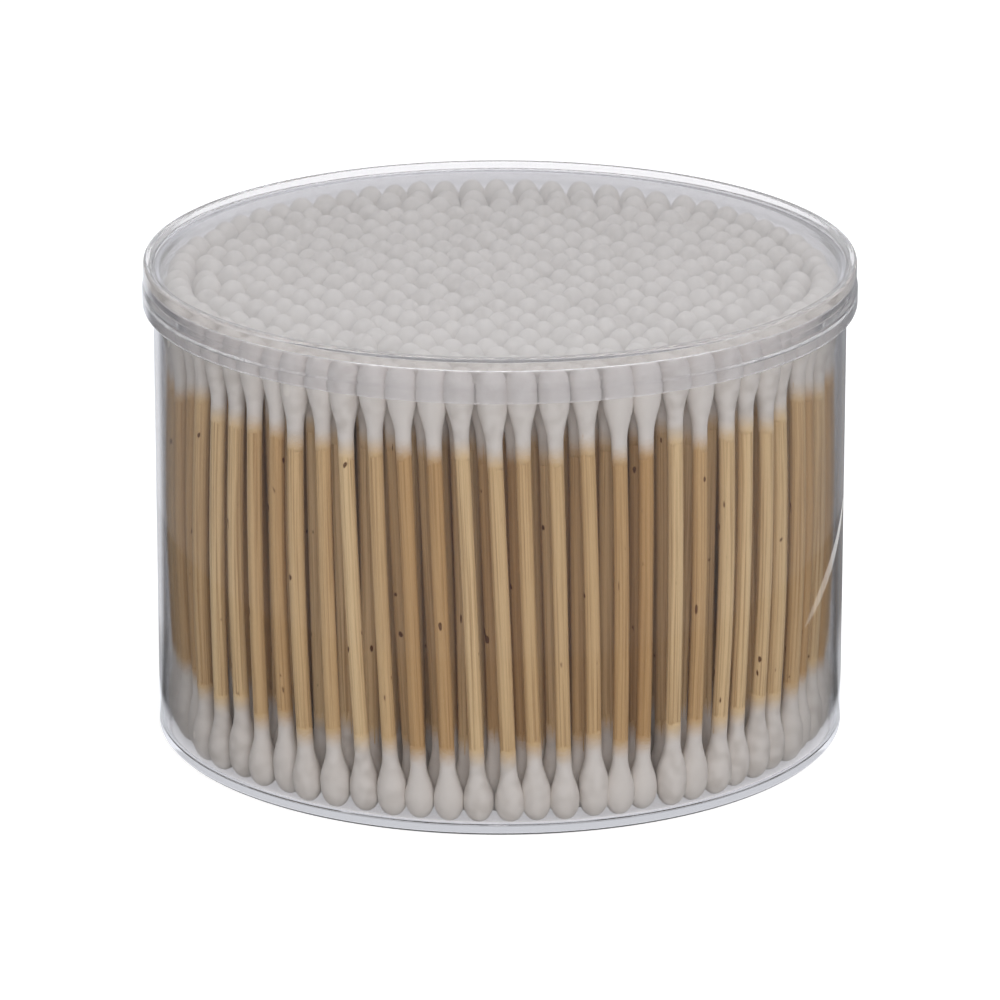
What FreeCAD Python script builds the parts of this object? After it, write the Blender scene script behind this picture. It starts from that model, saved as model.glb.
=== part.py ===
"""Cotton swab tub: a round clear tub with a press-on lid, packed with double-ended bamboo cotton swabs.

Millimetres, +Z up. The origin is the centre of the underside of the tub, which stands on z = 0.
The front is -Y, and swab angles are measured from there towards +X.
The swabs against the wall are made one by one. Those behind them are packed too tightly to be told
apart except by their tips under the lid, so each of their three layers is one solid.
"""

import FreeCAD, Part
import math
import os
import random

# Tub, a thin moulding with a nearly straight wall
TUB_RADIUS = 56.3
TUB_WALL = 1.1
TUB_FLOOR = 1.1
TUB_FOOT_CHAMFER = 0.5
TUB_INNER_CHAMFER = 0.8
TUB_BEAD_DEPTH = 0.25
TUB_BEAD_BELOW_RIM = 1.6
TUB_BEAD_UNDERCUT = 0.7

# Lid, whose skirt reaches down over the rim of the tub
LID_SKIRT_DEPTH = 7.3
LID_WALL = 1.1
LID_PLATE = 1.1
LID_STACKING_RIM_HEIGHT = 1.0
LID_RIM_SLOPE = 0.25
LID_EDGE_CHAMFER = 0.4
LID_STEP_ABOVE_SKIRT_END = 3.0
LID_STEP_HEIGHT = 0.9
LID_STEP_DEPTH = 0.2
LID_BEAD_DEPTH = 0.25
LID_BEAD_ABOVE_SKIRT_END = 1.6
LID_BEAD_UNDERCUT = 0.7

# Fits between the lid and the tub, and between the lid and the foot of a like tub set on it
LID_SEAT_CLEARANCE = 0.1
BEAD_CLEARANCE = 0.15
STACKING_CLEARANCE = 0.25

# Swabs
SWAB_LENGTH = 75.4
STICK_DIAMETER = 2.5
BUD_DIAMETER = 4.7
BUD_LENGTH = 11.7
BUD_TAPER = 5.2
BUD_DOME = 1.9
BUD_SHOULDER_INSET = 0.25
BUD_NECK_COTTON = 0.2
SWAB_SIDES = 6

# Clear spaces round the swabs
SWAB_WALL_CLEARANCE = 0.1
SWAB_FLOOR_CLEARANCE = 0.05
SWAB_LID_CLEARANCE = 0.6
SWAB_SIDE_CLEARANCE = 0.02
ROW_CLEARANCE = 0.1

# How the swabs against the wall lean, in degrees, along the wall
LEAN_MEAN = 0.9
LEAN_SWING = 1.7
LEAN_LOBES = 3
LEAN_PEAK_ANGLE = -11.0

# How the swabs behind them lie
ROW_SPACING = 4.3
PACKED_SPACING = 4.75
PACKED_JITTER = 0.4
SETTLING_ROUNDS = 20
TIP_DEPTH = 1.7
MERGE_DISTANCE = 0.08
PACKING_SEED = 7
FACET_TOLERANCE = 0.0001

X_AXIS = FreeCAD.Vector(1, 0, 0)
Z_AXIS = FreeCAD.Vector(0, 0, 1)
ORIGIN = FreeCAD.Vector(0, 0, 0)

# Heights
swab_bottom = TUB_FLOOR + SWAB_FLOOR_CLEARANCE
swab_top = swab_bottom + SWAB_LENGTH
plate_underside = swab_top + SWAB_LID_CLEARANCE
rim_top = plate_underside - LID_SEAT_CLEARANCE
plate_top = plate_underside + LID_PLATE
lid_top = plate_top + LID_STACKING_RIM_HEIGHT
skirt_end = lid_top - LID_SKIRT_DEPTH

# Radii
tub_inner_radius = TUB_RADIUS - TUB_WALL
tub_bead_radius = TUB_RADIUS + TUB_BEAD_DEPTH
skirt_inner_radius = tub_bead_radius + BEAD_CLEARANCE + LID_BEAD_DEPTH
lid_radius = skirt_inner_radius + LID_WALL
foot_radius_at_rim = min(TUB_RADIUS, TUB_RADIUS - TUB_FOOT_CHAMFER + LID_STACKING_RIM_HEIGHT)
stacking_rim_radius = foot_radius_at_rim + STACKING_CLEARANCE

# Swabs seen from above: a bud has its flats towards its neighbours, which lean a little differently
lean_squeeze = SWAB_LENGTH * LEAN_LOBES * math.radians(LEAN_SWING) / (2 * tub_inner_radius - BUD_DIAMETER)
bud_flat_radius = (BUD_DIAMETER * (1 - lean_squeeze) - SWAB_SIDE_CLEARANCE) / 2
bud_corner_radius = bud_flat_radius / math.cos(math.pi / SWAB_SIDES)
stick_corner_radius = STICK_DIAMETER / 2
wall_row_radius = tub_inner_radius - SWAB_WALL_CLEARANCE - bud_corner_radius
wall_row_count = math.floor(2 * math.pi * wall_row_radius / BUD_DIAMETER)
packed_radius = wall_row_radius - bud_corner_radius - ROW_CLEARANCE
second_row_radius = wall_row_radius - ROW_SPACING
second_row_count = math.floor(2 * math.pi * second_row_radius / PACKED_SPACING)


def point(radius, angle, z):
    """Return the point at a radius and height, with the angle from the front towards +X."""
    return FreeCAD.Vector(radius * math.sin(angle), -radius * math.cos(angle), z)


def turned(outline):
    """Turn a closed outline of (radius, height) corners once round the Z axis."""
    corners = [FreeCAD.Vector(radius, 0, z) for radius, z in outline]
    face = Part.Face(Part.makePolygon(corners + corners[:1]))
    return face.revolve(ORIGIN, Z_AXIS, 360)


def make_tub():
    """Return the tub: floor, chamfered foot, wall and the press-on bead that slopes down from its rim."""
    bead_crest = rim_top - TUB_BEAD_BELOW_RIM
    outside = [
        (0, 0),
        (TUB_RADIUS - TUB_FOOT_CHAMFER, 0),
        (TUB_RADIUS, TUB_FOOT_CHAMFER),
        (TUB_RADIUS, bead_crest - TUB_BEAD_UNDERCUT),
        (tub_bead_radius, bead_crest),
        (TUB_RADIUS, rim_top),
    ]
    inside = [
        (tub_inner_radius, rim_top),
        (tub_inner_radius, TUB_FLOOR + TUB_INNER_CHAMFER),
        (tub_inner_radius - TUB_INNER_CHAMFER, TUB_FLOOR),
        (0, TUB_FLOOR),
    ]
    return turned(outside + inside)


def make_lid():
    """Return the lid: recessed plate, stacking rim, stepped skirt and the press-on bead at its mouth."""
    upper_radius = lid_radius - LID_STEP_DEPTH
    step_bottom = skirt_end + LID_STEP_ABOVE_SKIRT_END
    bead_crest = skirt_end + LID_BEAD_ABOVE_SKIRT_END
    outside = [
        (0, plate_top),
        (stacking_rim_radius - LID_RIM_SLOPE, plate_top),
        (stacking_rim_radius, lid_top),
        (upper_radius - LID_EDGE_CHAMFER, lid_top),
        (upper_radius, lid_top - LID_EDGE_CHAMFER),
        (upper_radius, step_bottom + LID_STEP_HEIGHT),
        (lid_radius, step_bottom),
        (lid_radius, skirt_end),
    ]
    inside = [
        (skirt_inner_radius, skirt_end),
        (skirt_inner_radius - LID_BEAD_DEPTH, bead_crest),
        (skirt_inner_radius, bead_crest + LID_BEAD_UNDERCUT),
        (skirt_inner_radius, plate_underside),
        (0, plate_underside),
    ]
    return turned(outside + inside)


def polygon_ring(radius, sides, z):
    """Return the corners of a level regular polygon, the first one towards +X."""
    turns = [2 * math.pi * side / sides for side in range(sides)]
    return [FreeCAD.Vector(radius * math.cos(turn), radius * math.sin(turn), z) for turn in turns]


def faceted_solid(points, facets):
    """Return the solid bounded by triangles, each three indexes into the points."""
    shell = Part.Shape()
    shell.makeShapeFromMesh((points, facets), FACET_TOLERANCE)
    return Part.makeSolid(shell)


def make_bud():
    """Return one bud from its neck at z = 0 up to its tip, tapered, then straight, then domed."""
    shoulder = BUD_LENGTH - BUD_DOME
    rings = [
        polygon_ring(stick_corner_radius + BUD_NECK_COTTON, SWAB_SIDES, 0),
        polygon_ring(bud_corner_radius, SWAB_SIDES, BUD_TAPER),
        polygon_ring(bud_corner_radius - BUD_SHOULDER_INSET, SWAB_SIDES, shoulder),
    ]
    points = [corner for ring in rings for corner in ring] + [FreeCAD.Vector(0, 0, BUD_LENGTH)]
    tip = len(points) - 1
    facets = []
    for level in range(len(rings) - 1):
        for side in range(SWAB_SIDES):
            lower = level * SWAB_SIDES + side
            lower_next = level * SWAB_SIDES + (side + 1) % SWAB_SIDES
            facets.append((lower, lower_next, lower_next + SWAB_SIDES))
            facets.append((lower, lower_next + SWAB_SIDES, lower + SWAB_SIDES))
    last = tip - SWAB_SIDES
    for side in range(SWAB_SIDES):
        facets.append((last + side, last + (side + 1) % SWAB_SIDES, tip))
    for side in range(1, SWAB_SIDES - 1):
        facets.append((0, side + 1, side))
    return faceted_solid(points, facets)


def make_stick():
    """Return the bare run of one stick, from z = 0 up to the neck of its upper bud."""
    corners = polygon_ring(stick_corner_radius, SWAB_SIDES, 0)
    outline = Part.makePolygon(corners + corners[:1])
    return Part.Face(outline).extrude(Z_AXIS * (SWAB_LENGTH - 2 * BUD_LENGTH))


def lean_at(angle):
    """Return how far a swab at this angle leans along the wall, in radians."""
    phase = LEAN_LOBES * (angle - math.radians(LEAN_PEAK_ANGLE))
    return math.radians(LEAN_MEAN + LEAN_SWING * math.cos(phase))


def wall_row_placements():
    """Return, for each swab against the wall, the placement that sets it down in the tub."""
    placements = []
    for index in range(wall_row_count):
        angle = 2 * math.pi * index / wall_row_count
        shift = SWAB_LENGTH * math.tan(lean_at(angle)) / wall_row_radius
        foot = point(wall_row_radius, angle + shift / 2, swab_bottom)
        head = point(wall_row_radius, angle - shift / 2, swab_bottom + SWAB_LENGTH)
        facing = FreeCAD.Rotation(Z_AXIS, math.degrees(angle) - 90)
        tilt = FreeCAD.Rotation(Z_AXIS, head - foot)
        placements.append(FreeCAD.Placement(foot, tilt.multiply(facing)))
    return placements


def set_in_wall_row(solid, height, upside_down=False):
    """Return copies of a solid, one at this height along each swab against the wall."""
    turn = FreeCAD.Rotation(X_AXIS, 180 if upside_down else 0)
    along_swab = FreeCAD.Placement(Z_AXIS * height, turn)
    copies = []
    for placement in wall_row_placements():
        copy = solid.copy()
        copy.Placement = placement.multiply(along_swab)
        copies.append(copy)
    return Part.makeCompound(copies)


def settle(places, reach):
    """Push places apart, to no less than a bud between centres, inside a circle of this reach."""
    for _ in range(SETTLING_ROUNDS):
        for index, first in enumerate(places):
            for second in places[index + 1:]:
                across = second[0] - first[0]
                along = second[1] - first[1]
                gap = math.hypot(across, along)
                if 0 < gap < BUD_DIAMETER:
                    push = (BUD_DIAMETER - gap) / (2 * gap)
                    first[0] -= across * push
                    first[1] -= along * push
                    second[0] += across * push
                    second[1] += along * push
        for place in places:
            distance = math.hypot(*place)
            if distance > reach:
                place[0] *= reach / distance
                place[1] *= reach / distance


def packed_places():
    """Return the (x, y) axes of the swabs behind the wall row: one round row, then a honeycomb."""
    chance = random.Random(PACKING_SEED)
    places = []
    for index in range(second_row_count):
        corner = point(second_row_radius, 2 * math.pi * (index + 0.5) / second_row_count, 0)
        places.append([corner.x, corner.y])
    row_step = PACKED_SPACING * math.sqrt(0.75)
    honeycomb_radius = second_row_radius - row_step
    rows = math.floor(honeycomb_radius / row_step)
    columns = math.ceil(honeycomb_radius / PACKED_SPACING)
    for row in range(-rows, rows + 1):
        for column in range(-columns, columns + 1):
            x = (column + (row % 2) / 2) * PACKED_SPACING
            y = row * row_step
            if math.hypot(x, y) <= honeycomb_radius:
                places.append([x, y])
    for place in places:
        place[0] += chance.uniform(-PACKED_JITTER, PACKED_JITTER)
        place[1] += chance.uniform(-PACKED_JITTER, PACKED_JITTER)
    settle(places, second_row_radius)
    return places


def nearer_part(outline, place, other):
    """Return the part of a convex outline that is nearer to a place than to the other place."""
    normal = (other[0] - place[0], other[1] - place[1])
    middle = ((other[0] + place[0]) / 2, (other[1] + place[1]) / 2)
    beyond = [(x - middle[0]) * normal[0] + (y - middle[1]) * normal[1] for x, y in outline]
    kept = []
    for index, corner in enumerate(outline):
        previous = outline[index - 1]
        before, now = beyond[index - 1], beyond[index]
        if (before > 0) != (now > 0):
            share = before / (before - now)
            kept.append((previous[0] + share * (corner[0] - previous[0]),
                         previous[1] + share * (corner[1] - previous[1])))
        if now <= 0:
            kept.append(corner)
    return kept


class CornerList:
    """Corners of a tip layer, where corners that nearly meet become one."""

    def __init__(self):
        self.places = []

    def index_of(self, place):
        """Return the index of a corner at this place, adding it where there is none."""
        for index, known in enumerate(self.places):
            if math.hypot(known[0] - place[0], known[1] - place[1]) < MERGE_DISTANCE:
                return index
        self.places.append(place)
        return len(self.places) - 1


def tip_cells(places):
    """Return the shared corners, and for each place the corner indexes of the cell round it."""
    rim = [(corner.x, corner.y) for corner in polygon_ring(packed_radius, second_row_count, 0)]
    corners = CornerList()
    cells = []
    for place in places:
        outline = rim
        for other in places:
            if 0 < math.hypot(other[0] - place[0], other[1] - place[1]) < 3 * PACKED_SPACING:
                outline = nearer_part(outline, place, other)
        indexes = [corners.index_of(corner) for corner in outline]
        cells.append([now for before, now in zip(indexes[-1:] + indexes, indexes) if now != before])
    return corners.places, cells


def make_packed_buds():
    """Return the layer of packed buds: flat below at z = 0 and one pointed tip for each swab."""
    places = packed_places()
    corners, cells = tip_cells(places)
    valley = BUD_LENGTH - TIP_DEPTH
    points = [FreeCAD.Vector(x, y, valley) for x, y in corners]
    points += [FreeCAD.Vector(x, y, BUD_LENGTH) for x, y in places]
    facets = []
    edges = set()
    for cell_index, cell in enumerate(cells):
        tip = len(corners) + cell_index
        for start, end in zip(cell, cell[1:] + cell[:1]):
            facets.append((start, end, tip))
            edges.add((start, end))
    rim_edges = [(start, end) for start, end in edges if (end, start) not in edges]
    below = {}
    for start, _ in rim_edges:
        below[start] = len(points)
        points.append(FreeCAD.Vector(corners[start][0], corners[start][1], 0))
    centre = len(points)
    points.append(ORIGIN)
    for start, end in sorted(rim_edges):
        facets.append((end, start, below[start]))
        facets.append((end, below[start], below[end]))
        facets.append((centre, below[end], below[start]))
    return faceted_solid(points, facets)


def make_packed_feet():
    """Return the layer of lower buds behind the wall row, which show only between those in front."""
    corners = polygon_ring(packed_radius, second_row_count, 0)
    return Part.Face(Part.makePolygon(corners + corners[:1])).extrude(Z_AXIS * BUD_LENGTH)


def make_packed_sticks():
    """Return the packed sticks as one bundle, with a ridge for each stick of the second row."""
    ridge_radius = second_row_radius + stick_corner_radius
    corners = []
    for index in range(second_row_count):
        step = 2 * math.pi / second_row_count
        corners.append(point(second_row_radius, step * index, 0))
        corners.append(point(ridge_radius, step * (index + 0.5), 0))
    outline = Part.makePolygon(corners + corners[:1])
    return Part.Face(outline).extrude(Z_AXIS * (SWAB_LENGTH - 2 * BUD_LENGTH))


def main():
    """Build every node and write it to the parts folder."""
    lower_neck = swab_bottom + BUD_LENGTH
    upper_neck = swab_top - BUD_LENGTH
    bud = make_bud()
    inner_top_buds = make_packed_buds()
    inner_top_buds.translate(Z_AXIS * upper_neck)
    inner_bottom_buds = make_packed_feet()
    inner_bottom_buds.translate(Z_AXIS * swab_bottom)
    inner_sticks = make_packed_sticks()
    inner_sticks.translate(Z_AXIS * lower_neck)
    nodes = {
        "tub": make_tub(),
        "lid": make_lid(),
        "outer_sticks": set_in_wall_row(make_stick(), BUD_LENGTH),
        "outer_top_buds": set_in_wall_row(bud, SWAB_LENGTH - BUD_LENGTH),
        "outer_bottom_buds": set_in_wall_row(bud, BUD_LENGTH, upside_down=True),
        "inner_sticks": inner_sticks,
        "inner_top_buds": inner_top_buds,
        "inner_bottom_buds": inner_bottom_buds,
    }
    os.makedirs("parts", exist_ok=True)
    for name, shape in nodes.items():
        shape.exportStep(f"parts/{name}.step")
        print(name, len(shape.Solids), "solids", shape.isValid(), round(shape.Volume, 1), "mm3")
    print("swabs", wall_row_count + len(packed_places()))


main()
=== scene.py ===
"""Looks of the cotton swab tub: clear mouldings, bamboo sticks and wound cotton, built round its CAD model.

Every length is in metres unless its name says millimetres. +Z is up and the front of the tub is -Y.
"""

import logging
import math
import random
from collections.abc import Callable
from dataclasses import dataclass
from enum import Enum
from functools import partial

import bmesh
import bpy
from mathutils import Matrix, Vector
from mathutils.kdtree import KDTree


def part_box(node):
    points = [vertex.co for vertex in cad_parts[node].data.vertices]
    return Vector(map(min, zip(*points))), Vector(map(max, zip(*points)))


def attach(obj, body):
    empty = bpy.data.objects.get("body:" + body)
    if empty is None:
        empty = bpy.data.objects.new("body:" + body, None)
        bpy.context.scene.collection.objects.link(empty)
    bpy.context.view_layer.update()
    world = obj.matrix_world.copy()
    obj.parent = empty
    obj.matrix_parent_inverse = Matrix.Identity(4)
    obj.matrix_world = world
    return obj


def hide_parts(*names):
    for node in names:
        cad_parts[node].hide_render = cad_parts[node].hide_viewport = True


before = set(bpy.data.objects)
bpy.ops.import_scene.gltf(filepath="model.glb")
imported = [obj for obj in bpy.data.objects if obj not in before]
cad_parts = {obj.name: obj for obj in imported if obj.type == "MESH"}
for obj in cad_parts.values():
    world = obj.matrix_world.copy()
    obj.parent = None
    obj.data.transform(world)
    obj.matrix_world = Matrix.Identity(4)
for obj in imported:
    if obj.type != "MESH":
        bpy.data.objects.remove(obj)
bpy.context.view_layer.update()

log = logging.getLogger("swab_tub")

MM = 0.001
PLACE_ATTRIBUTE = "own_place_mm"
SHADE_ATTRIBUTE = "own_shade"
WRAP_ATTRIBUTE = "cotton_wrap"

# The colour sockets of Blender's Mix node share their names with its other kinds, so they go by number.
MIX_A = 6
MIX_B = 7
MIX_OUT = 2

WHITE = "#FFFFFF"

Corner = tuple[float, float, float]
ProfilePoint = tuple[float, float]
Station = tuple[float, float, float]


class Slot(Enum):
    """Material slots of the part's record."""

    PLASTIC = "clear_plastic"
    BAMBOO = "bamboo"
    COTTON = "cotton"


class Body(Enum):
    """Bodies of the part that a piece can ride on."""

    TUB = "tub"
    LID = "lid"


def linear(hex_colour: str) -> tuple[float, float, float, float]:
    """Turn an sRGB hex colour into linear light.

    Args:
        hex_colour: A colour such as "#C8A878".

    Returns:
        Red, green, blue and an alpha of 1.
    """
    channels = []
    for start in (1, 3, 5):
        value = int(hex_colour[start:start + 2], 16) / 255
        channels.append(value / 12.92 if value <= 0.04045 else ((value + 0.055) / 1.055) ** 2.4)
    return (channels[0], channels[1], channels[2], 1.0)


def add_node(tree: bpy.types.NodeTree, kind: str, inputs: dict | None = None, **settings) -> bpy.types.Node:
    """Add a node with its settings, input values and links.

    Args:
        tree: The node tree that gets the node.
        kind: The node's type name.
        inputs: Input name or index to a value, or to an output socket that is linked to it.
        **settings: Properties of the node itself.

    Returns:
        The new node.
    """
    node = tree.nodes.new(kind)
    for name, value in settings.items():
        setattr(node, name, value)
    for key, value in (inputs or {}).items():
        if isinstance(value, bpy.types.NodeSocket):
            tree.links.new(value, node.inputs[key])
        else:
            node.inputs[key].default_value = value
    return node


def calculate(tree: bpy.types.NodeTree, operation: str, *values: bpy.types.NodeSocket | float,
              use_clamp: bool = False) -> bpy.types.NodeSocket:
    """Add a calculation on one to three numbers or output sockets, and return its result."""
    inputs = dict(enumerate(values))
    return add_node(tree, "ShaderNodeMath", inputs, operation=operation, use_clamp=use_clamp).outputs[0]


def new_material(name: str) -> bpy.types.Material:
    """Return an empty material with nodes, of this name."""
    material = bpy.data.materials.new(name)
    material.use_nodes = True
    material.node_tree.nodes.clear()
    return material


@dataclass(frozen=True)
class ClearPolystyrene:
    """Crystal polystyrene from a polished mould."""

    # Clear and glossy: a faint veil of the room on the wall, grey where the wall is seen edge on.
    name: str = "moulded_clear_polystyrene"
    clear: str = "#FAF9FB"
    edge: str = "#B9BDC2"
    open_way: str = "#FCFCFC"
    edge_power: float = 4.0
    ior: float = 1.5
    roughness: float = 0.04
    haze: float = 0.01
    longest_bounce: float = 4.5

    def build(self) -> bpy.types.Material:
        """Return the material, which bends what is seen through it but lets lamp light straight in."""
        material = new_material(self.name)
        tree = material.node_tree
        tilt = add_node(tree, "ShaderNodeLayerWeight", {"Blend": 0.5})
        grazing = calculate(tree, "POWER", tilt.outputs["Facing"], self.edge_power)
        tint = add_node(tree, "ShaderNodeMix", {
            "Factor": grazing,
            MIX_A: linear(self.clear),
            MIX_B: linear(self.edge),
        }, data_type="RGBA")
        plastic = add_node(tree, "ShaderNodeBsdfPrincipled", {
            "Base Color": tint.outputs[MIX_OUT],
            "Roughness": self.roughness,
            "IOR": self.ior,
            "Transmission Weight": 1 - self.haze,
        })
        open_way = add_node(tree, "ShaderNodeBsdfTransparent", {"Color": linear(self.open_way)})
        path = add_node(tree, "ShaderNodeLightPath")
        for_light = calculate(
            tree, "MAXIMUM", path.outputs["Is Shadow Ray"], path.outputs["Is Diffuse Ray"],
        )
        # Light that goes round and round inside the lid's plate leaves it after a few turns.
        trapped = calculate(tree, "GREATER_THAN", path.outputs["Ray Depth"], self.longest_bounce)
        straight = calculate(tree, "MAXIMUM", for_light, trapped)
        surface = add_node(tree, "ShaderNodeMixShader", {
            0: straight,
            1: plastic.outputs[0],
            2: open_way.outputs[0],
        })
        add_node(tree, "ShaderNodeOutputMaterial", {"Surface": surface.outputs[0]})
        return material


@dataclass(frozen=True)
class TurnedBamboo:
    """Split bamboo, turned to a thin rod and left bare."""

    # Dry and tan, with darker fibre bundles along it and a brown speck here and there.
    name: str = "turned_bamboo"
    pale: str = "#E6C899"
    tan: str = "#C49C68"
    fibre: str = "#A67E4E"
    speck: str = "#6E4726"
    fibre_spacing_mm: float = 0.32
    fibre_length_mm: float = 30.0
    fibre_from: float = 0.45
    fibre_full: float = 0.8
    speck_mm: float = 1.1
    speck_stretch: float = 2.0
    speck_from: float = 0.8
    speck_full: float = 0.84
    roughness: float = 0.6
    grain_depth_mm: float = 0.02

    def build(self) -> bpy.types.Material:
        """Return the material, whose grain follows each stick."""
        material = new_material(self.name)
        tree = material.node_tree
        place = add_node(tree, "ShaderNodeAttribute", attribute_name=PLACE_ATTRIBUTE)
        shade = add_node(tree, "ShaderNodeAttribute", attribute_name=SHADE_ATTRIBUTE)
        along = add_node(tree, "ShaderNodeMapping", {
            "Vector": place.outputs["Vector"],
            "Scale": (1 / self.fibre_spacing_mm, 1 / self.fibre_spacing_mm, 1 / self.fibre_length_mm),
        })
        fibres = add_node(tree, "ShaderNodeTexNoise", {
            "Vector": along.outputs["Vector"],
            "Scale": 1.0,
            "Detail": 2.0,
            "Roughness": 0.6,
        })
        fibre_mask = add_node(tree, "ShaderNodeMapRange", {
            "Value": fibres.outputs["Fac"],
            "From Min": self.fibre_from,
            "From Max": self.fibre_full,
        })
        body_colour = add_node(tree, "ShaderNodeMix", {
            "Factor": shade.outputs["Fac"],
            MIX_A: linear(self.pale),
            MIX_B: linear(self.tan),
        }, data_type="RGBA")
        grain_colour = add_node(tree, "ShaderNodeMix", {
            "Factor": fibre_mask.outputs["Result"],
            MIX_A: body_colour.outputs[MIX_OUT],
            MIX_B: linear(self.fibre),
        }, data_type="RGBA")
        speck_place = add_node(tree, "ShaderNodeMapping", {
            "Vector": place.outputs["Vector"],
            "Scale": (1 / self.speck_mm, 1 / self.speck_mm, 1 / (self.speck_stretch * self.speck_mm)),
        })
        specks = add_node(tree, "ShaderNodeTexNoise", {
            "Vector": speck_place.outputs["Vector"],
            "Scale": 1.0,
            "Detail": 0.0,
        })
        speck_mask = add_node(tree, "ShaderNodeMapRange", {
            "Value": specks.outputs["Fac"],
            "From Min": self.speck_from,
            "From Max": self.speck_full,
        })
        colour = add_node(tree, "ShaderNodeMix", {
            "Factor": speck_mask.outputs["Result"],
            MIX_A: grain_colour.outputs[MIX_OUT],
            MIX_B: linear(self.speck),
        }, data_type="RGBA")
        bump = add_node(tree, "ShaderNodeBump", {
            "Height": fibres.outputs["Fac"],
            "Distance": self.grain_depth_mm * MM,
        })
        wood = add_node(tree, "ShaderNodeBsdfPrincipled", {
            "Base Color": colour.outputs[MIX_OUT],
            "Roughness": self.roughness,
            "Normal": bump.outputs["Normal"],
        })
        add_node(tree, "ShaderNodeOutputMaterial", {"Surface": wood.outputs[0]})
        return material


@dataclass(frozen=True)
class WoundCotton:
    """Carded cotton, wound on the stick and pressed smooth."""

    # Matte and off-white, a little mottled, and so thin at the neck that the stick shows through.
    name: str = "wound_cotton"
    white: str = "#E2DCD6"
    shadow: str = "#D2CBC4"
    pale_stick: str = "#E6C899"
    tan_stick: str = "#C49C68"
    fibre_mm: float = 0.3
    fibre_run_mm: float = 0.857
    fibre_depth_mm: float = 0.04
    tuft_mm: float = 1.8
    tuft_from: float = 0.35
    tuft_full: float = 0.7
    raggedness: float = 0.25
    cover_from: float = 0.1
    cover_full: float = 1.1
    roughness: float = 0.95
    sheen: float = 0.1

    def build(self) -> bpy.types.Material:
        """Return the material, through whose thin neck the stick shows."""
        material = new_material(self.name)
        tree = material.node_tree
        place = add_node(tree, "ShaderNodeAttribute", attribute_name=PLACE_ATTRIBUTE)
        shade = add_node(tree, "ShaderNodeAttribute", attribute_name=SHADE_ATTRIBUTE)
        wrap = add_node(tree, "ShaderNodeAttribute", attribute_name=WRAP_ATTRIBUTE)
        round_it = add_node(tree, "ShaderNodeMapping", {
            "Vector": place.outputs["Vector"],
            "Scale": (1 / self.fibre_run_mm, 1 / self.fibre_run_mm, 1 / self.fibre_mm),
        })
        fibres = add_node(tree, "ShaderNodeTexNoise", {
            "Vector": round_it.outputs["Vector"],
            "Scale": 1.0,
            "Detail": 1.0,
        })
        tufts = add_node(tree, "ShaderNodeTexNoise", {
            "Vector": place.outputs["Vector"],
            "Scale": 1 / self.tuft_mm,
            "Detail": 0.0,
        })
        tuft_mask = add_node(tree, "ShaderNodeMapRange", {
            "Value": tufts.outputs["Fac"],
            "From Min": self.tuft_from,
            "From Max": self.tuft_full,
        })
        mottled = add_node(tree, "ShaderNodeMix", {
            "Factor": tuft_mask.outputs["Result"],
            MIX_A: linear(self.white),
            MIX_B: linear(self.shadow),
        }, data_type="RGBA")
        toned = add_node(tree, "ShaderNodeMix", {
            "Factor": shade.outputs["Fac"],
            MIX_A: mottled.outputs[MIX_OUT],
            MIX_B: linear(self.white),
        }, data_type="RGBA")
        ragged = calculate(
            tree, "MULTIPLY_ADD", fibres.outputs["Fac"], self.raggedness, wrap.outputs["Fac"],
        )
        cover = add_node(tree, "ShaderNodeMapRange", {
            "Value": ragged,
            "From Min": self.cover_from,
            "From Max": self.cover_full,
        }, interpolation_type="SMOOTHSTEP")
        stick = add_node(tree, "ShaderNodeMix", {
            "Factor": shade.outputs["Fac"],
            MIX_A: linear(self.pale_stick),
            MIX_B: linear(self.tan_stick),
        }, data_type="RGBA")
        colour = add_node(tree, "ShaderNodeMix", {
            "Factor": cover.outputs["Result"],
            MIX_A: stick.outputs[MIX_OUT],
            MIX_B: toned.outputs[MIX_OUT],
        }, data_type="RGBA")
        bump = add_node(tree, "ShaderNodeBump", {
            "Height": fibres.outputs["Fac"],
            "Distance": self.fibre_depth_mm * MM,
        })
        cotton = add_node(tree, "ShaderNodeBsdfPrincipled", {
            "Base Color": colour.outputs[MIX_OUT],
            "Roughness": self.roughness,
            "Sheen Weight": self.sheen,
            "Normal": bump.outputs["Normal"],
        })
        add_node(tree, "ShaderNodeOutputMaterial", {"Surface": cotton.outputs[0]})
        return material


def finish_piece(piece: bpy.types.Object, body: Body, nodes: tuple[str, ...]) -> None:
    """Set a piece on its body and let it stand for CAD nodes.

    Args:
        piece: The new object.
        body: The body that it rides on.
        nodes: The CAD nodes that it replaces.
    """
    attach(piece, body.value)
    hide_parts(*nodes)
    log.info("%s: %d faces", piece.name, len(piece.data.polygons))


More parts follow.
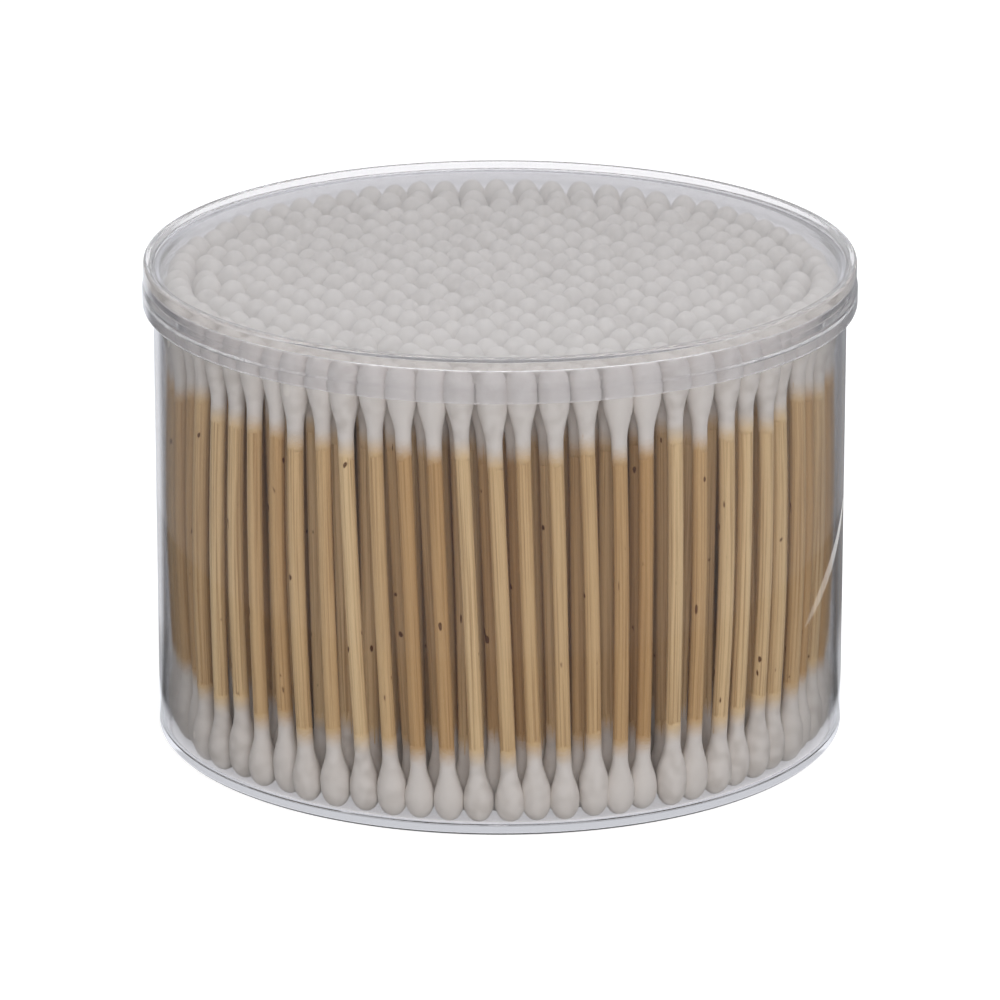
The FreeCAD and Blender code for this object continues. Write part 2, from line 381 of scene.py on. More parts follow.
@dataclass(frozen=True)
class TurnedMoulding:
    """A round moulding whose section is a closed outline with rounded corners, turned about the Z axis."""

    segments: int = 224
    bend_steps: int = 5
    support_share: float = 0.35
    longest_run: float = 5 * MM
    ripple: float = 0.012 * MM

    def rounded(self, corners: list[Corner]) -> list[ProfilePoint]:
        """Round the corners of an outline.

        Args:
            corners: Radius, height and rounding radius of each corner, in order.

        Returns:
            The points of the rounded outline.
        """
        points: list[ProfilePoint] = []
        for index, (radius, height, rounding) in enumerate(corners):
            here = Vector((radius, height))
            if rounding == 0 or index in (0, len(corners) - 1):
                points.append((radius, height))
                continue
            before = (Vector(corners[index - 1][:2]) - here).normalized()
            after = (Vector(corners[index + 1][:2]) - here).normalized()
            half_angle = before.angle(after) / 2
            reach = rounding / math.tan(half_angle)
            middle = here + (before + after).normalized() * (rounding / math.sin(half_angle))
            start, end = here + before * reach, here + after * reach
            points.append(tuple(start + before * rounding * self.support_share))
            first_spoke, last_spoke = (start - middle).normalized(), (end - middle).normalized()
            for step in range(self.bend_steps + 1):
                spoke = first_spoke.slerp(last_spoke, step / self.bend_steps)
                points.append(tuple(middle + spoke * rounding))
            points.append(tuple(end + after * rounding * self.support_share))
        return points

    def divided(self, outline: list[ProfilePoint]) -> list[ProfilePoint]:
        """Divide the long upright runs of an outline, so that they can ripple.

        Args:
            outline: The rounded outline.

        Returns:
            The outline with more points.
        """
        points = [outline[0]]
        for (radius, height), (radius_after, height_after) in zip(outline, outline[1:]):
            pieces = max(1, math.ceil(abs(height_after - height) / self.longest_run))
            for piece in range(1, pieces + 1):
                share = piece / pieces
                points.append((
                    radius + (radius_after - radius) * share,
                    height + (height_after - height) * share,
                ))
        return points

    def rippled(self, radius: float, turn: float, height: float) -> float:
        """Return the radius with the slight unevenness that a mould leaves, always inwards."""
        wave = math.sin(7 * turn + 210 * height) + math.sin(11 * turn - 330 * height + 1.7)
        return radius - self.ripple * (1 + wave / 2)

    def turn(self, name: str, corners: list[Corner], material: bpy.types.Material) -> bpy.types.Object:
        """Turn an outline that starts and ends on the axis.

        Args:
            name: The new object's name.
            corners: Radius, height and rounding radius of each corner, in order.
            material: The finish.

        Returns:
            The new object.
        """
        outline = self.divided(self.rounded(corners))
        mesh = bmesh.new()
        poles = [mesh.verts.new((0, 0, outline[0][1])), mesh.verts.new((0, 0, outline[-1][1]))]
        rings = []
        for radius, height in outline[1:-1]:
            ring = []
            for segment in range(self.segments):
                turn = 2 * math.pi * segment / self.segments
                reach = self.rippled(radius, turn, height)
                ring.append(mesh.verts.new((reach * math.cos(turn), reach * math.sin(turn), height)))
            rings.append(ring)
        for segment in range(self.segments):
            following = (segment + 1) % self.segments
            mesh.faces.new((poles[0], rings[0][segment], rings[0][following]))
            for ring, ring_after in zip(rings, rings[1:]):
                mesh.faces.new((ring[segment], ring_after[segment], ring_after[following], ring[following]))
            mesh.faces.new((rings[-1][segment], poles[1], rings[-1][following]))
        bmesh.ops.recalc_face_normals(mesh, faces=mesh.faces)
        data = bpy.data.meshes.new(name)
        mesh.to_mesh(data)
        mesh.free()
        data.shade_smooth()
        data.materials.append(material)
        piece = bpy.data.objects.new(name, data)
        bpy.context.scene.collection.objects.link(piece)
        return piece


@dataclass
class ClearTub:
    """The tub: floor, softened foot, wall and a press-on bead that slopes down from its rim."""

    wall: float = 1.1 * MM
    floor: float = 1.1 * MM
    foot_chamfer: float = 0.5 * MM
    inner_chamfer: float = 0.8 * MM
    bead_depth: float = 0.25 * MM
    bead_below_rim: float = 1.6 * MM
    bead_undercut: float = 0.7 * MM
    foot_rounding: float = 0.35 * MM
    bead_rounding: float = 0.15 * MM
    rim_rounding: float = 0.2 * MM
    inner_rounding: float = 0.8 * MM

    def build(self, finish: bpy.types.Material) -> bpy.types.Object:
        """Turn the tub and dress it.

        Args:
            finish: The clear plastic.

        Returns:
            The tub piece.
        """
        low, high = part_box("tub")
        radius = high[0] - self.bead_depth
        inner = radius - self.wall
        rim = high[2]
        crest = rim - self.bead_below_rim
        corners = [
            (0, low[2], 0),
            (radius - self.foot_chamfer, low[2], self.foot_rounding),
            (radius, low[2] + self.foot_chamfer, self.foot_rounding),
            (radius, crest - self.bead_undercut, self.bead_rounding),
            (radius + self.bead_depth, crest, self.bead_rounding),
            (radius, rim, self.rim_rounding),
            (inner, rim, self.rim_rounding),
            (inner, self.floor + self.inner_chamfer, self.inner_rounding),
            (inner - self.inner_chamfer, self.floor, self.inner_rounding),
            (0, self.floor, 0),
        ]
        piece = TurnedMoulding().turn("clear_tub", corners, finish)
        finish_piece(piece, Body.TUB, ("tub",))
        return piece


@dataclass
class ClearLid:
    """The lid: recessed plate, stacking rim, stepped skirt and the press-on bead at its mouth."""

    wall: float = 1.1 * MM
    plate: float = 1.1 * MM
    rim_height: float = 1.0 * MM
    rim_width: float = 1.5 * MM
    rim_slope: float = 0.25 * MM
    step_above_skirt_end: float = 3.0 * MM
    step_height: float = 0.9 * MM
    step_depth: float = 0.2 * MM
    bead_depth: float = 0.25 * MM
    bead_above_skirt_end: float = 1.6 * MM
    bead_undercut: float = 0.7 * MM
    plate_rounding: float = 0.4 * MM
    outer_rounding: float = 0.5 * MM
    step_rounding: float = 0.3 * MM
    mouth_rounding: float = 0.25 * MM
    bead_rounding: float = 0.2 * MM

    def build(self, finish: bpy.types.Material) -> bpy.types.Object:
        """Turn the lid and dress it.

        Args:
            finish: The clear plastic.

        Returns:
            The lid piece.
        """
        low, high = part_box("lid")
        radius, top, skirt_end = high[0], high[2], low[2]
        upper = radius - self.step_depth
        inner = radius - self.wall
        plate_top = top - self.rim_height
        underside = plate_top - self.plate
        step = skirt_end + self.step_above_skirt_end
        crest = skirt_end + self.bead_above_skirt_end
        corners = [
            (0, plate_top, 0),
            (radius - self.rim_width - self.rim_slope, plate_top, self.plate_rounding),
            (radius - self.rim_width, top, self.step_rounding),
            (upper, top, self.outer_rounding),
            (upper, step + self.step_height, self.step_rounding),
            (radius, step, self.step_rounding),
            (radius, skirt_end, self.mouth_rounding),
            (inner, skirt_end, self.bead_rounding),
            (inner - self.bead_depth, crest, self.bead_rounding),
            (inner, crest + self.bead_undercut, self.bead_rounding),
            (inner, underside, self.step_rounding),
            (0, underside, 0),
        ]
        piece = TurnedMoulding().turn("clear_lid", corners, finish)
        finish_piece(piece, Body.LID, ("lid",))
        return piece


@dataclass(frozen=True)
class Swab:
    """One swab: where its tips are, how it bows, and its own share of the finish's variation."""

    foot: Vector
    head: Vector
    bow: Vector
    shade: float
    seed: float
    thickness: float
    foot_cotton: float
    head_cotton: float

    def point(self, distance: float) -> Vector:
        """Return the point of the axis at this distance from the foot."""
        share = distance / self.length
        return self.foot.lerp(self.head, share) + self.bow * math.sin(math.pi * share)

    @property
    def length(self) -> float:
        """Length from tip to tip."""
        return (self.head - self.foot).length


class SwabBundle:
    """One mesh of many turned bodies along swabs, with the coordinates that their finish needs."""

    def __init__(self, name: str) -> None:
        """Start an empty bundle of this name."""
        self.name = name
        self.points: list[Vector] = []
        self.faces: list[tuple[int, ...]] = []
        self.places: list[float] = []
        self.shades: list[float] = []
        self.wraps: list[float] = []

    def add(self, swab: Swab, stations: list[Station], sides: int, lumps: float) -> None:
        """Add one turned body.

        Args:
            swab: The swab whose axis it follows.
            stations: Distance from the foot, radius and cotton wrap of each ring, in order.
            sides: Number of points round it.
            lumps: Share of the radius by which the surface wanders.
        """
        axis = (swab.head - swab.foot).normalized()
        across = axis.orthogonal().normalized()
        aside = axis.cross(across)
        first = len(self.points)
        for distance, radius, wrap in stations:
            centre = swab.point(distance)
            for side in range(sides):
                turn = 2 * math.pi * side / sides
                wave = self.wander(turn, distance / MM, swab.seed)
                reach = radius * (1 + lumps * wave)
                east, north = reach * math.cos(turn), reach * math.sin(turn)
                self.points.append(centre + across * east + aside * north)
                self.places.extend((east / MM + swab.seed, north / MM, distance / MM + 3 * swab.seed))
                self.shades.append(swab.shade)
                self.wraps.append(wrap)
        for ring in range(len(stations) - 1):
            for side in range(sides):
                here = first + ring * sides + side
                beside = first + ring * sides + (side + 1) % sides
                self.faces.append((here, beside, beside + sides, here + sides))
        last = first + (len(stations) - 1) * sides
        self.faces.append(tuple(range(first + sides - 1, first - 1, -1)))
        self.faces.append(tuple(range(last, last + sides)))

    @staticmethod
    def wander(turn: float, distance_mm: float, seed: float) -> float:
        """Return a smooth uneven value between about -1 and 1 for a place on a body."""
        return (
            0.45 * math.sin(2 * turn + 0.9 * distance_mm + seed)
            + 0.35 * math.sin(3 * turn - 1.3 * distance_mm + 2.3 * seed)
            + 0.3 * math.sin(5 * turn + 2.1 * distance_mm + 5.1 * seed)
        )

    def build(self, material: bpy.types.Material) -> bpy.types.Object:
        """Make the object of everything that was added.

        Args:
            material: The finish.

        Returns:
            The new object.
        """
        data = bpy.data.meshes.new(self.name)
        data.from_pydata(self.points, [], self.faces)
        for attribute, kind, key, values in (
            (PLACE_ATTRIBUTE, "FLOAT_VECTOR", "vector", self.places),
            (SHADE_ATTRIBUTE, "FLOAT", "value", self.shades),
            (WRAP_ATTRIBUTE, "FLOAT", "value", self.wraps),
        ):
            data.attributes.new(attribute, kind, "POINT").data.foreach_set(key, values)
        data.shade_smooth()
        data.materials.append(material)
        piece = bpy.data.objects.new(self.name, data)
        bpy.context.scene.collection.objects.link(piece)
        return piece


@dataclass
class SwabPack:
    """All the swabs in the tub: the row against the wall and those packed behind it."""

    stick_radius: float = 1.25 * MM
    bud_radius: float = 2.42 * MM
    top_taper: float = 7.4 * MM
    bottom_taper: float = 6.2 * MM
    taper_power: float = 1.25
    bud_dome: float = 3.6 * MM
    film: float = 0.02 * MM
    film_reach: float = 3.2 * MM
    longer_top: float = 4.0 * MM
    longer_bottom: float = 2.2 * MM
    cotton_spread: float = 1.4 * MM
    stick_in_bud: float = 4.5 * MM
    greatest_bow: float = 0.35 * MM
    bow_to_wall: float = 1.2 * MM
    wall_row_drift: float = 0.25 * MM
    off_the_wall: float = 1.1 * MM
    packed_drift: float = 1.2 * MM
    packed_sway: float = 3.0 * MM
    sway_run: float = 26 * MM
    tip_drift: float = 0.4 * MM
    tip_drop: float = 0.9 * MM
    tip_spacing: float = 5.1 * MM
    push_share: float = 0.35
    spread_rounds: int = 40
    thinnest: float = 0.95
    thickest: float = 1.04
    lumps: float = 0.012
    dome_share: float = 0.4
    stick_steps: int = 10
    tip_point: float = 0.05 * MM
    same_place: float = 0.001 * MM
    tip_level: float = 0.01 * MM
    seed: int = 11

    def __post_init__(self) -> None:
        """Read the places of the swabs from the CAD nodes."""
        chance = random.Random(self.seed)
        low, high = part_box("inner_top_buds")
        self.bud_length = high[2] - low[2]
        self.wall_row = [self.swab(*ends, self.bow_to_wall, chance) for ends in self.wall_row_ends(chance)]
        self.packed = [self.swab(*ends, 0.0, chance) for ends in self.packed_ends(chance)]

    def swab(self, foot: Vector, head: Vector, outward: float, chance: random.Random) -> Swab:
        """Return a swab between two tips with its own variation.

        Args:
            foot: The lower tip.
            head: The upper tip.
            outward: How far its middle bows away from the axis of the tub.
            chance: The source of the variation.

        Returns:
            The swab, which bows along the wall that it stands at.
        """
        along = Vector((-foot.y, foot.x, 0)).normalized()
        out = Vector((foot.x + head.x, foot.y + head.y, 0)).normalized()
        return Swab(
            foot=foot,
            head=head,
            bow=along * chance.uniform(-self.greatest_bow, self.greatest_bow) + out * outward,
            shade=chance.random(),
            seed=chance.uniform(0, 40),
            thickness=chance.uniform(self.thinnest, self.thickest),
            foot_cotton=self.bud_length + self.longer_bottom + chance.uniform(-1, 1) * self.cotton_spread,
            head_cotton=self.bud_length + self.longer_top + chance.uniform(-1, 1) * self.cotton_spread,
        )

    def wall_row_ends(self, chance: random.Random) -> list[tuple[Vector, Vector]]:
        """Return the lower and upper tip of each swab against the wall, from its CAD stick.

        Args:
            chance: The source of the small drifts along the wall.

        Returns:
            Pairs of tips.
        """
        mesh = bmesh.new()
        mesh.from_mesh(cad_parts["outer_sticks"].data)
        bmesh.ops.remove_doubles(mesh, verts=mesh.verts, dist=self.same_place)
        ends = []
        unseen = set(mesh.verts)
        while unseen:
            island = []
            waiting = [unseen.pop()]
            while waiting:
                vertex = waiting.pop()
                island.append(vertex.co.copy())
                for edge in vertex.link_edges:
                    other = edge.other_vert(vertex)
                    if other in unseen:
                        unseen.remove(other)
                        waiting.append(other)
            middle = sum((place.z for place in island)) / len(island)
            lower = [place for place in island if place.z < middle]
            upper = [place for place in island if place.z >= middle]
            foot = sum(lower, Vector()) / len(lower)
            head = sum(upper, Vector()) / len(upper)
            reach = (head - foot).normalized() * self.bud_length
            ends.append((foot - reach, head + reach))
        mesh.free()
        ends.sort(key=lambda pair: math.atan2(pair[0].y, pair[0].x))
        for pair in ends:
            for tip in pair:
                tip += Vector((-tip.y, tip.x, 0)).normalized() * chance.uniform(-1, 1) * self.wall_row_drift
                tip -= Vector((tip.x, tip.y, 0)).normalized() * chance.random() ** 2 * self.off_the_wall
        return ends

    def packed_ends(self, chance: random.Random) -> list[tuple[Vector, Vector]]:
        """Return the lower and upper tip of each packed swab, from the tips of the CAD layer.

        Args:
            chance: The source of the small drifts of the feet.

        Returns:
            Pairs of tips.
        """
        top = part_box("inner_top_buds")[1][2]
        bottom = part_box("inner_bottom_buds")[0][2]
        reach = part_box("inner_bottom_buds")[1][0] - self.bud_radius
        tips = {}
        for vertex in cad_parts["inner_top_buds"].data.vertices:
            if vertex.co.z > top - self.tip_level:
                tips[(round(vertex.co.x, 6), round(vertex.co.y, 6))] = vertex.co.copy()
        heads = self.spread([tips[key] for key in sorted(tips)])
        ends = []
        for head in heads:
            foot = head + self.sway(head)
            foot.x += chance.uniform(-1, 1) * self.packed_drift
            foot.y += chance.uniform(-1, 1) * self.packed_drift
            foot.z = 0
            if foot.length > reach:
                foot *= reach / foot.length
            foot.z = bottom
            head.x += chance.uniform(-1, 1) * self.tip_drift
            head.y += chance.uniform(-1, 1) * self.tip_drift
            head.z -= chance.random() * self.tip_drop
            ends.append((foot, head))
        return ends

    def spread(self, heads: list[Vector]) -> list[Vector]:
        """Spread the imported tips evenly, so that no open ring is left between the rows.

        Args:
            heads: The tips of the CAD layer.

        Returns:
            The tips, each at most a millimetre or so from its own place.
        """
        walls = [swab.head for swab in self.wall_row]
        heads = [head.copy() for head in heads]
        for _ in range(self.spread_rounds):
            near = KDTree(len(heads) + len(walls))
            for index, place in enumerate(heads + walls):
                near.insert((place.x, place.y, 0), index)
            near.balance()
            pushes = []
            for index, head in enumerate(heads):
                push = Vector((0, 0, 0))
                for place, other, distance in near.find_range((head.x, head.y, 0), self.tip_spacing):
                    if other != index and distance > 0:
                        away = Vector((head.x - place.x, head.y - place.y, 0)) / distance
                        push += away * (self.tip_spacing - distance) * self.push_share
                pushes.append(push)
            for head, push in zip(heads, pushes):
                head += push
        return heads

    def sway(self, head: Vector) -> Vector:
        """Return how far the foot of a packed swab lies from under its head: neighbours lean alike."""
        east, north = head.x / self.sway_run, head.y / self.sway_run
        return Vector((
            math.sin(2.9 * north + 0.7) * math.cos(1.7 * east + 0.4),
            math.sin(2.6 * east + 2.1) * math.cos(1.9 * north - 0.8),
            0,
        )) * self.packed_sway

    def bud_stations(self, rings: int, cotton: float, taper: float, stick: float) -> list[Station]:
        """Return distance from the tip, radius and wrap of each ring of a bud, tip first.

        Args:
            rings: Number of rings after the first.
            cotton: How far along the stick the cotton reaches.
            taper: Length of the narrowing from the barrel to the stick.
            stick: Radius of the stick.

        Returns:
            The stations of a rounded tip, a barrel, a neck and a thin film that ends just inside the stick.
        """
        stations = []
        dome_rings = round(rings * self.dome_share)
        neck_end = cotton - self.film_reach
        for ring in range(dome_rings + 1):
            slope = ring / dome_rings * math.pi / 2
            distance = self.bud_dome * (1 - math.cos(slope))
            stations.append((distance, max(self.bud_radius * math.sin(slope), self.tip_point), 1.0))
        for ring in range(dome_rings + 1, rings + 1):
            beyond = (ring - dome_rings) / (rings - dome_rings)
            distance = self.bud_dome + (cotton - self.bud_dome) * beyond
            part = min(1.0, max(0.0, (neck_end - distance) / taper))
            ease = (part * part * (3 - 2 * part)) ** self.taper_power
            left = min(1.0, (cotton - distance) / (self.film_reach * 1.3))
            thin = stick + self.film * min(1.0, left * 10 - 1)
            stations.append((distance, thin + (self.bud_radius - thin) * ease, left))
        return stations

    def bud_of(self, swab: Swab, at_head: bool, rings: int) -> list[Station]:
        """Return the stations of one bud of a swab, from its lower ring to its upper one.

        Args:
            swab: The swab.
            at_head: True for the upper bud.
            rings: Number of rings after the first.

        Returns:
            The stations, measured from the foot of the swab.
        """
        stick = self.stick_radius * swab.thickness
        if not at_head:
            return self.bud_stations(rings, swab.foot_cotton, self.bottom_taper, stick)
        stations = self.bud_stations(rings, swab.head_cotton, self.top_taper, stick)
        return [(swab.length - distance, radius, wrap) for distance, radius, wrap in reversed(stations)]

    def stick_of(self, swab: Swab) -> list[Station]:
        """Return the stations of the stick of a swab, which runs on into both buds."""
        start = self.bud_length - self.stick_in_bud
        run = swab.length - 2 * start
        radius = self.stick_radius * swab.thickness
        steps = self.stick_steps
        return [(start + run * step / steps, radius, 0.0) for step in range(steps + 1)]

    def make_piece(self, swabs: list[Swab], stations_of: Callable[[Swab], list[Station]], sides: int,
                   finish: bpy.types.Material, slot: Slot, name: str, node: str) -> None:
        """Make one piece that has a turned body on each of some swabs.

        Args:
            swabs: The swabs.
            stations_of: Gives the stations of the body on a swab.
            sides: Points round each body.
            finish: The bamboo or the cotton.
            slot: The record's material slot; not used.
            name: The piece's name.
            node: The CAD node that the piece replaces.
        """
        bundle = SwabBundle(name)
        for swab in swabs:
            bundle.add(swab, stations_of(swab), sides, self.lumps)
        finish_piece(bundle.build(finish), Body.TUB, (node,))

    def build(self, bamboo: bpy.types.Material, cotton: bpy.types.Material) -> None:
        """Make every stick and bud: finer where they show behind the wall.

        Args:
            bamboo: The finish of the sticks.
            cotton: The finish of the buds.
        """
        for row, layer, swabs, stick_sides, bud_sides_and_rings in (
            ("wall_row", "outer", self.wall_row, 20, {"top": (28, 26), "bottom": (28, 26)}),
            ("packed", "inner", self.packed, 10, {"top": (16, 14), "bottom": (12, 10)}),
        ):
            names = (f"{row}_sticks", f"{layer}_sticks")
            self.make_piece(swabs, self.stick_of, stick_sides, bamboo, Slot.BAMBOO, *names)
            for end, (sides, rings) in bud_sides_and_rings.items():
                names = (f"{row}_{end}_buds", f"{layer}_{end}_buds")
                bud = partial(self.bud_of, at_head=end == "top", rings=rings)
                self.make_piece(swabs, bud, sides, cotton, Slot.COTTON, *names)


@dataclass(frozen=True)
class Softbox:
    """One square soft lamp that glossy surfaces don't mirror."""

    name: str
    place: Corner
    side: float
    watts: float
    in_plastic: bool

    def build(self, aim: Vector) -> None:
        """Add the lamp.

        Args:
            aim: The point that it faces.
        """
        lamp = bpy.data.lights.new(self.name, "AREA")
        lamp.size = self.side
        lamp.energy = self.watts
        holder = bpy.data.objects.new(self.name, lamp)
        holder.location = self.place
        holder.visible_glossy = False
        # Seen inside the walls of the plastic, it gives the lid's front edge its pale line.
        holder.visible_transmission = self.in_plastic
        holder.rotation_euler = (aim - Vector(self.place)).to_track_quat("-Z", "Y").to_euler()
        bpy.context.scene.collection.objects.link(holder)


@dataclass
class Studio:
    """White sweep, soft lamps and the camera at the photograph's place."""

    camera_distance: float = 1.1305
    camera_elevation_deg: float = 18.26
    target_height: float = 37.35 * MM
    lens_mm: float = 248.1
    sensor_mm: float = 36.0
    floor_side: float = 6.0
    glint_from_deg: float = 6
    glint_to_deg: float = 58
    glint_near: float = 108 * MM
    glint_far: float = 136 * MM
    glint_width: float = 7 * MM
    glint_height: float = 0.2 * MM
    glint_bluntness: float = 0.6
    glint_steps: int = 24
    glint_strength: float = 1.1
    world_strength: float = 0.3
    backdrop_top: float = 0.6
    backdrop_fade: float = 0.15
    room_above: float = 0.15
    ceiling_from: float = 0.34
    ceiling_full: float = 0.49
    ceiling_share: float = 1.0
    lid_glare_low: float = 0.268
    lid_glare_high: float = 0.294
    lid_glare_least: float = 0.15
    lid_glare_most: float = 0.6
    mirrored_under: float = 0.7
    mirrored_near: float = 0.05
    mirrored_far: float = 0.15
    tub_side: float = 56.3 * MM
    behind_from_deg: float = 30
    behind_to_deg: float = 20
    behind_reach: float = 72 * MM
    behind_near: float = 0.5
    beside_left: float = 0.8
    beside_right: float = 0.2
    behind_fade: float = 16 * MM
    foot_reach: float = 60 * MM
    foot_fade: float = 3 * MM
    dark_ring: float = 140 * MM
    ring_fade: float = 2 * MM
    floor_drop: float = 0.1 * MM
    floor_lift: float = 0.62
    paper: str = "#D8D9DA"
    painted_reflection: str = "#F4F6FC"
    softboxes: tuple[Softbox, ...] = (
        Softbox("overhead_softbox", (0.05, 0.1, 1.0), 0.9, 6.2, in_plastic=True),
        Softbox("front_softbox", (0.2, -1.35, 0.4), 0.9, 8.4, in_plastic=False),
    )

    @staticmethod
    def ray_kinds(tree: bpy.types.NodeTree) -> tuple[bpy.types.NodeSocket, ...]:
        """Add which kind of ray arrives.

        Args:
            tree: The node tree of the world or the floor.

        Returns:
            Each 0 or 1: straight from the camera, by way of the plastic, and mirrored on the way.
        """
        path = add_node(tree, "ShaderNodeLightPath")
        by_plastic = calculate(
            tree, "MAXIMUM", path.outputs["Is Glossy Ray"], path.outputs["Is Transmission Ray"],
        )
        mirrored = calculate(tree, "GREATER_THAN", path.outputs["Glossy Depth"], 0.5)
        return path.outputs["Is Camera Ray"], by_plastic, mirrored

    def seen_share(self, tree: bpy.types.NodeTree, through: bpy.types.NodeSocket | float,
                   mirrored: bpy.types.NodeSocket | float) -> bpy.types.NodeSocket:
        """Add how much of the white background a ray shows.

        Args:
            tree: The node tree of the world or the floor.
            through: The share that is seen straight through clear plastic.
            mirrored: The share that a reflection shows, where the room is dimmer than the backdrop.

        Returns:
            1 for the camera, the given shares for the other two, 0 for light.
        """
        from_camera, by_plastic, was_mirrored = self.ray_kinds(tree)
        kind = add_node(tree, "ShaderNodeMix", {
            "Factor": was_mirrored,
            2: through,
            3: mirrored,
        }, data_type="FLOAT")
        share = calculate(tree, "MULTIPLY", by_plastic, kind.outputs[0])
        return calculate(tree, "MAXIMUM", from_camera, share)

    def build_world(self) -> None:
        """Light the object softly from all round, and show plain white behind it."""
        world = bpy.data.worlds.new("white_studio")
        world.use_nodes = True
        tree = world.node_tree
        tree.nodes.clear()
        place = add_node(tree, "ShaderNodeTexCoord")
        upward = add_node(tree, "ShaderNodeSeparateXYZ", {"Vector": place.outputs["Generated"]})
        # Rays bent upwards by an edge of the plastic meet the dim room above the backdrop.
        backdrop = add_node(tree, "ShaderNodeMapRange", {
            "Value": upward.outputs["Z"],
            "From Min": self.backdrop_top - self.backdrop_fade,
            "From Max": self.backdrop_top,
            "To Min": 1.0,
            "To Max": self.room_above,
        })
        mirrored = add_node(tree, "ShaderNodeMapRange", {
            "Value": upward.outputs["Z"],
            "From Min": self.lid_glare_low,
            "From Max": self.lid_glare_high,
            "To Min": self.lid_glare_least,
            "To Max": self.lid_glare_most,
        })
        ceiling = add_node(tree, "ShaderNodeMapRange", {
            "Value": upward.outputs["Z"],
            "From Min": self.ceiling_from,
            "From Max": self.ceiling_full,
            "To Max": self.ceiling_share,
        })
        glare = calculate(tree, "ADD", mirrored.outputs["Result"], ceiling.outputs["Result"])
        strength = add_node(tree, "ShaderNodeMapRange", {
            "Value": self.seen_share(tree, backdrop.outputs["Result"], glare),
            "To Min": self.world_strength,
            "To Max": 1.0,
        })
        background = add_node(tree, "ShaderNodeBackground", {
            "Color": linear(WHITE),
            "Strength": strength.outputs["Result"],
        })
        add_node(tree, "ShaderNodeOutputWorld", {"Surface": background.outputs[0]})
        bpy.context.scene.world = world

    def build_floor(self) -> None:
        """Lay the white sweep that the tub stands on."""
        half = self.floor_side / 2
        data = bpy.data.meshes.new("white_sweep")
        drop = -self.floor_drop
        corners = [(-half, -half, drop), (half, -half, drop), (half, half, drop), (-half, half, drop)]
        data.from_pydata(corners, [], [(0, 1, 2, 3)])
        material = new_material("white_paper_sweep")
        tree = material.node_tree
        paper = add_node(tree, "ShaderNodeBsdfDiffuse", {"Color": linear(self.paper)})
        seen = self.seen_share(tree, 1.0, 0.0)
        strength = calculate(tree, "MULTIPLY", seen, self.floor_lift)
        lift = add_node(tree, "ShaderNodeEmission", {
            "Color": linear(WHITE),
            "Strength": strength,
        })
        lit_paper = add_node(tree, "ShaderNodeAddShader", {0: paper.outputs[0], 1: lift.outputs[0]})
        surface = self.with_painted_reflection(tree, lit_paper.outputs[0])
        add_node(tree, "ShaderNodeOutputMaterial", {"Surface": surface})
        data.materials.append(material)
        sweep = bpy.data.objects.new("white_sweep", data)
        bpy.context.scene.collection.objects.link(sweep)

    def with_painted_reflection(self, tree: bpy.types.NodeTree,
                            paper: bpy.types.NodeSocket) -> bpy.types.NodeSocket:
        """Let the clear plastic mirror a painted reflection, darker than the white paper: a glow on the
        floor that only mirrored rays see.

        Args:
            tree: The node tree of the floor.
            paper: The shader of the paper.

        Returns:
            The paper, which a mirrored ray sees as the glow of the painted reflection instead.
        """
        # Painted reflection: the glow is bright under the tub, dark round it and paler beyond, with an edge
        # that curves up the clear wall.
        place = add_node(tree, "ShaderNodeNewGeometry")
        distance = add_node(tree, "ShaderNodeVectorMath", {
            0: place.outputs["Position"],
        }, operation="LENGTH")
        near = add_node(tree, "ShaderNodeMapRange", {
            "Value": distance.outputs["Value"],
            "From Min": self.foot_reach,
            "From Max": self.foot_reach + self.foot_fade,
            "To Min": self.mirrored_under,
            "To Max": self.mirrored_near,
        })
        far = add_node(tree, "ShaderNodeMapRange", {
            "Value": distance.outputs["Value"],
            "From Min": self.dark_ring - self.ring_fade,
            "From Max": self.dark_ring,
            "To Max": self.mirrored_far - self.mirrored_near,
        })
        rings = calculate(tree, "ADD", near.outputs["Result"], far.outputs["Result"])
        # Straight behind the two sides of the tub the painted reflection is pale: more so on the left.
        sideways = add_node(tree, "ShaderNodeSeparateXYZ", {"Vector": place.outputs["Position"]})
        from_middle = calculate(tree, "ABSOLUTE", sideways.outputs["X"])
        from_side = calculate(tree, "SUBTRACT", from_middle, self.tub_side, use_clamp=True)
        turned_out = calculate(tree, "ARCTAN2", from_side, sideways.outputs["Y"])
        behind = add_node(tree, "ShaderNodeMapRange", {
            "Value": turned_out,
            "From Min": math.radians(self.behind_from_deg),
            "From Max": math.radians(self.behind_to_deg),
        })
        beside = add_node(tree, "ShaderNodeMapRange", {
            "Value": sideways.outputs["X"],
            "From Min": -self.dark_ring / 2,
            "From Max": self.dark_ring / 2,
            "To Min": self.beside_left,
            "To Max": self.beside_right,
        })
        beyond = add_node(tree, "ShaderNodeMapRange", {
            "Value": distance.outputs["Value"],
            "From Min": self.behind_reach,
            "From Max": self.behind_reach + self.behind_fade,
            "To Min": self.behind_near,
            "To Max": beside.outputs["Result"],
        })
        strength = calculate(
            tree, "MULTIPLY_ADD", behind.outputs["Result"], beyond.outputs["Result"], rings,
        )
        # The glow of the painted reflection, which only rays mirrored in the plastic see.
        painted_reflection = add_node(tree, "ShaderNodeEmission", {
            "Color": linear(self.painted_reflection),
            "Strength": strength,
        })
        _, by_plastic, was_mirrored = self.ray_kinds(tree)
        mirrored = calculate(tree, "MULTIPLY", by_plastic, was_mirrored)
        surface = add_node(tree, "ShaderNodeMixShader", {
            0: mirrored,
            1: paper,
            2: painted_reflection.outputs[0],
        })
        return surface.outputs[0]

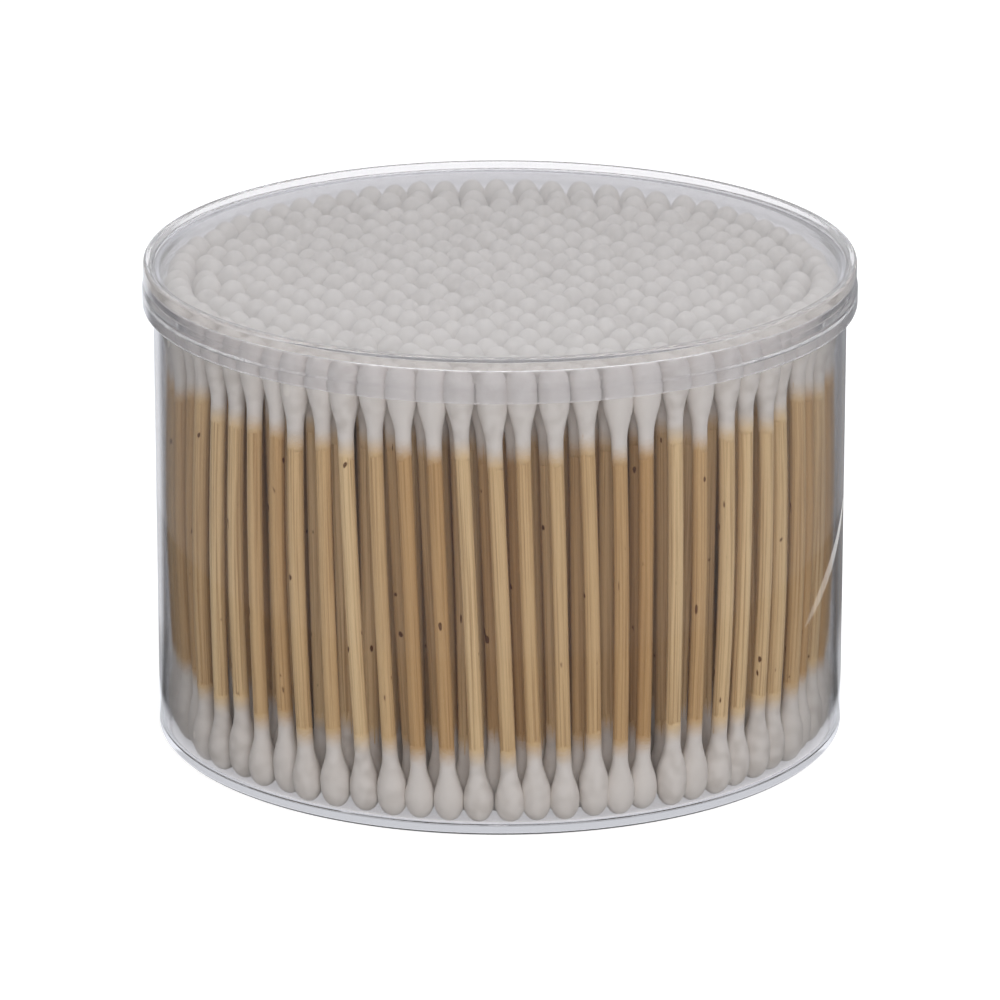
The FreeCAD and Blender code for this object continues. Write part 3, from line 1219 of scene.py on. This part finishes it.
    def build_glint(self) -> None:
        """Lay a bright strip right of the tub that shows in its clear wall alone, as a curved glint."""
        data = bpy.data.meshes.new("bright_strip")
        points, faces = [], []
        for step in range(self.glint_steps + 1):
            share = step / self.glint_steps
            turn = math.radians(self.glint_from_deg + (self.glint_to_deg - self.glint_from_deg) * share)
            middle = self.glint_near + (self.glint_far - self.glint_near) * share
            half = self.glint_width / 2 * math.sin(math.pi * share) ** self.glint_bluntness
            for reach in (middle - half, middle + half):
                points.append((reach * math.cos(turn), reach * math.sin(turn), self.glint_height))
            if step:
                faces.append((2 * step - 2, 2 * step - 1, 2 * step + 1, 2 * step))
        data.from_pydata(points, [], faces)
        material = new_material("bright_strip")
        glow = add_node(material.node_tree, "ShaderNodeEmission", {"Strength": self.glint_strength})
        add_node(material.node_tree, "ShaderNodeOutputMaterial", {"Surface": glow.outputs[0]})
        data.materials.append(material)
        strip = bpy.data.objects.new("bright_strip", data)
        for kind in ("camera", "diffuse", "transmission", "shadow"):
            setattr(strip, f"visible_{kind}", False)
        bpy.context.scene.collection.objects.link(strip)

    def build_camera(self) -> None:
        """Set the camera at the photograph's viewing angle."""
        data = bpy.data.cameras.new("photograph_view")
        data.sensor_width = self.sensor_mm
        data.lens = self.lens_mm
        data.clip_start = 0.05
        camera = bpy.data.objects.new("photograph_view", data)
        elevation = math.radians(self.camera_elevation_deg)
        target = Vector((0, 0, self.target_height))
        away = Vector((0, -math.cos(elevation), math.sin(elevation)))
        camera.location = target + away * self.camera_distance
        camera.rotation_euler = (-away).to_track_quat("-Z", "Y").to_euler()
        bpy.context.scene.collection.objects.link(camera)
        bpy.context.scene.camera = camera

    def build(self) -> None:
        """Set up the whole stage."""
        self.build_world()
        self.build_floor()
        self.build_glint()
        target = Vector((0, 0, self.target_height))
        for softbox in self.softboxes:
            softbox.build(target)
        self.build_camera()
        bpy.context.scene.view_settings.view_transform = "Standard"


def main() -> None:
    """Build the pieces in order and set the stage."""
    logging.basicConfig(level=logging.INFO, format="%(name)s: %(message)s")
    ClearTub().build(ClearPolystyrene().build())
    # The lid is seen through along its plate and rim, and looks hazier and greyer than the thin wall.
    lid_plastic = ClearPolystyrene(name="hazier_clear_polystyrene", clear="#F1F0F3", haze=0.1)
    ClearLid().build(lid_plastic.build())
    SwabPack().build(TurnedBamboo().build(), WoundCotton().build())
    Studio().build()


if __name__ == "__main__":
    main()
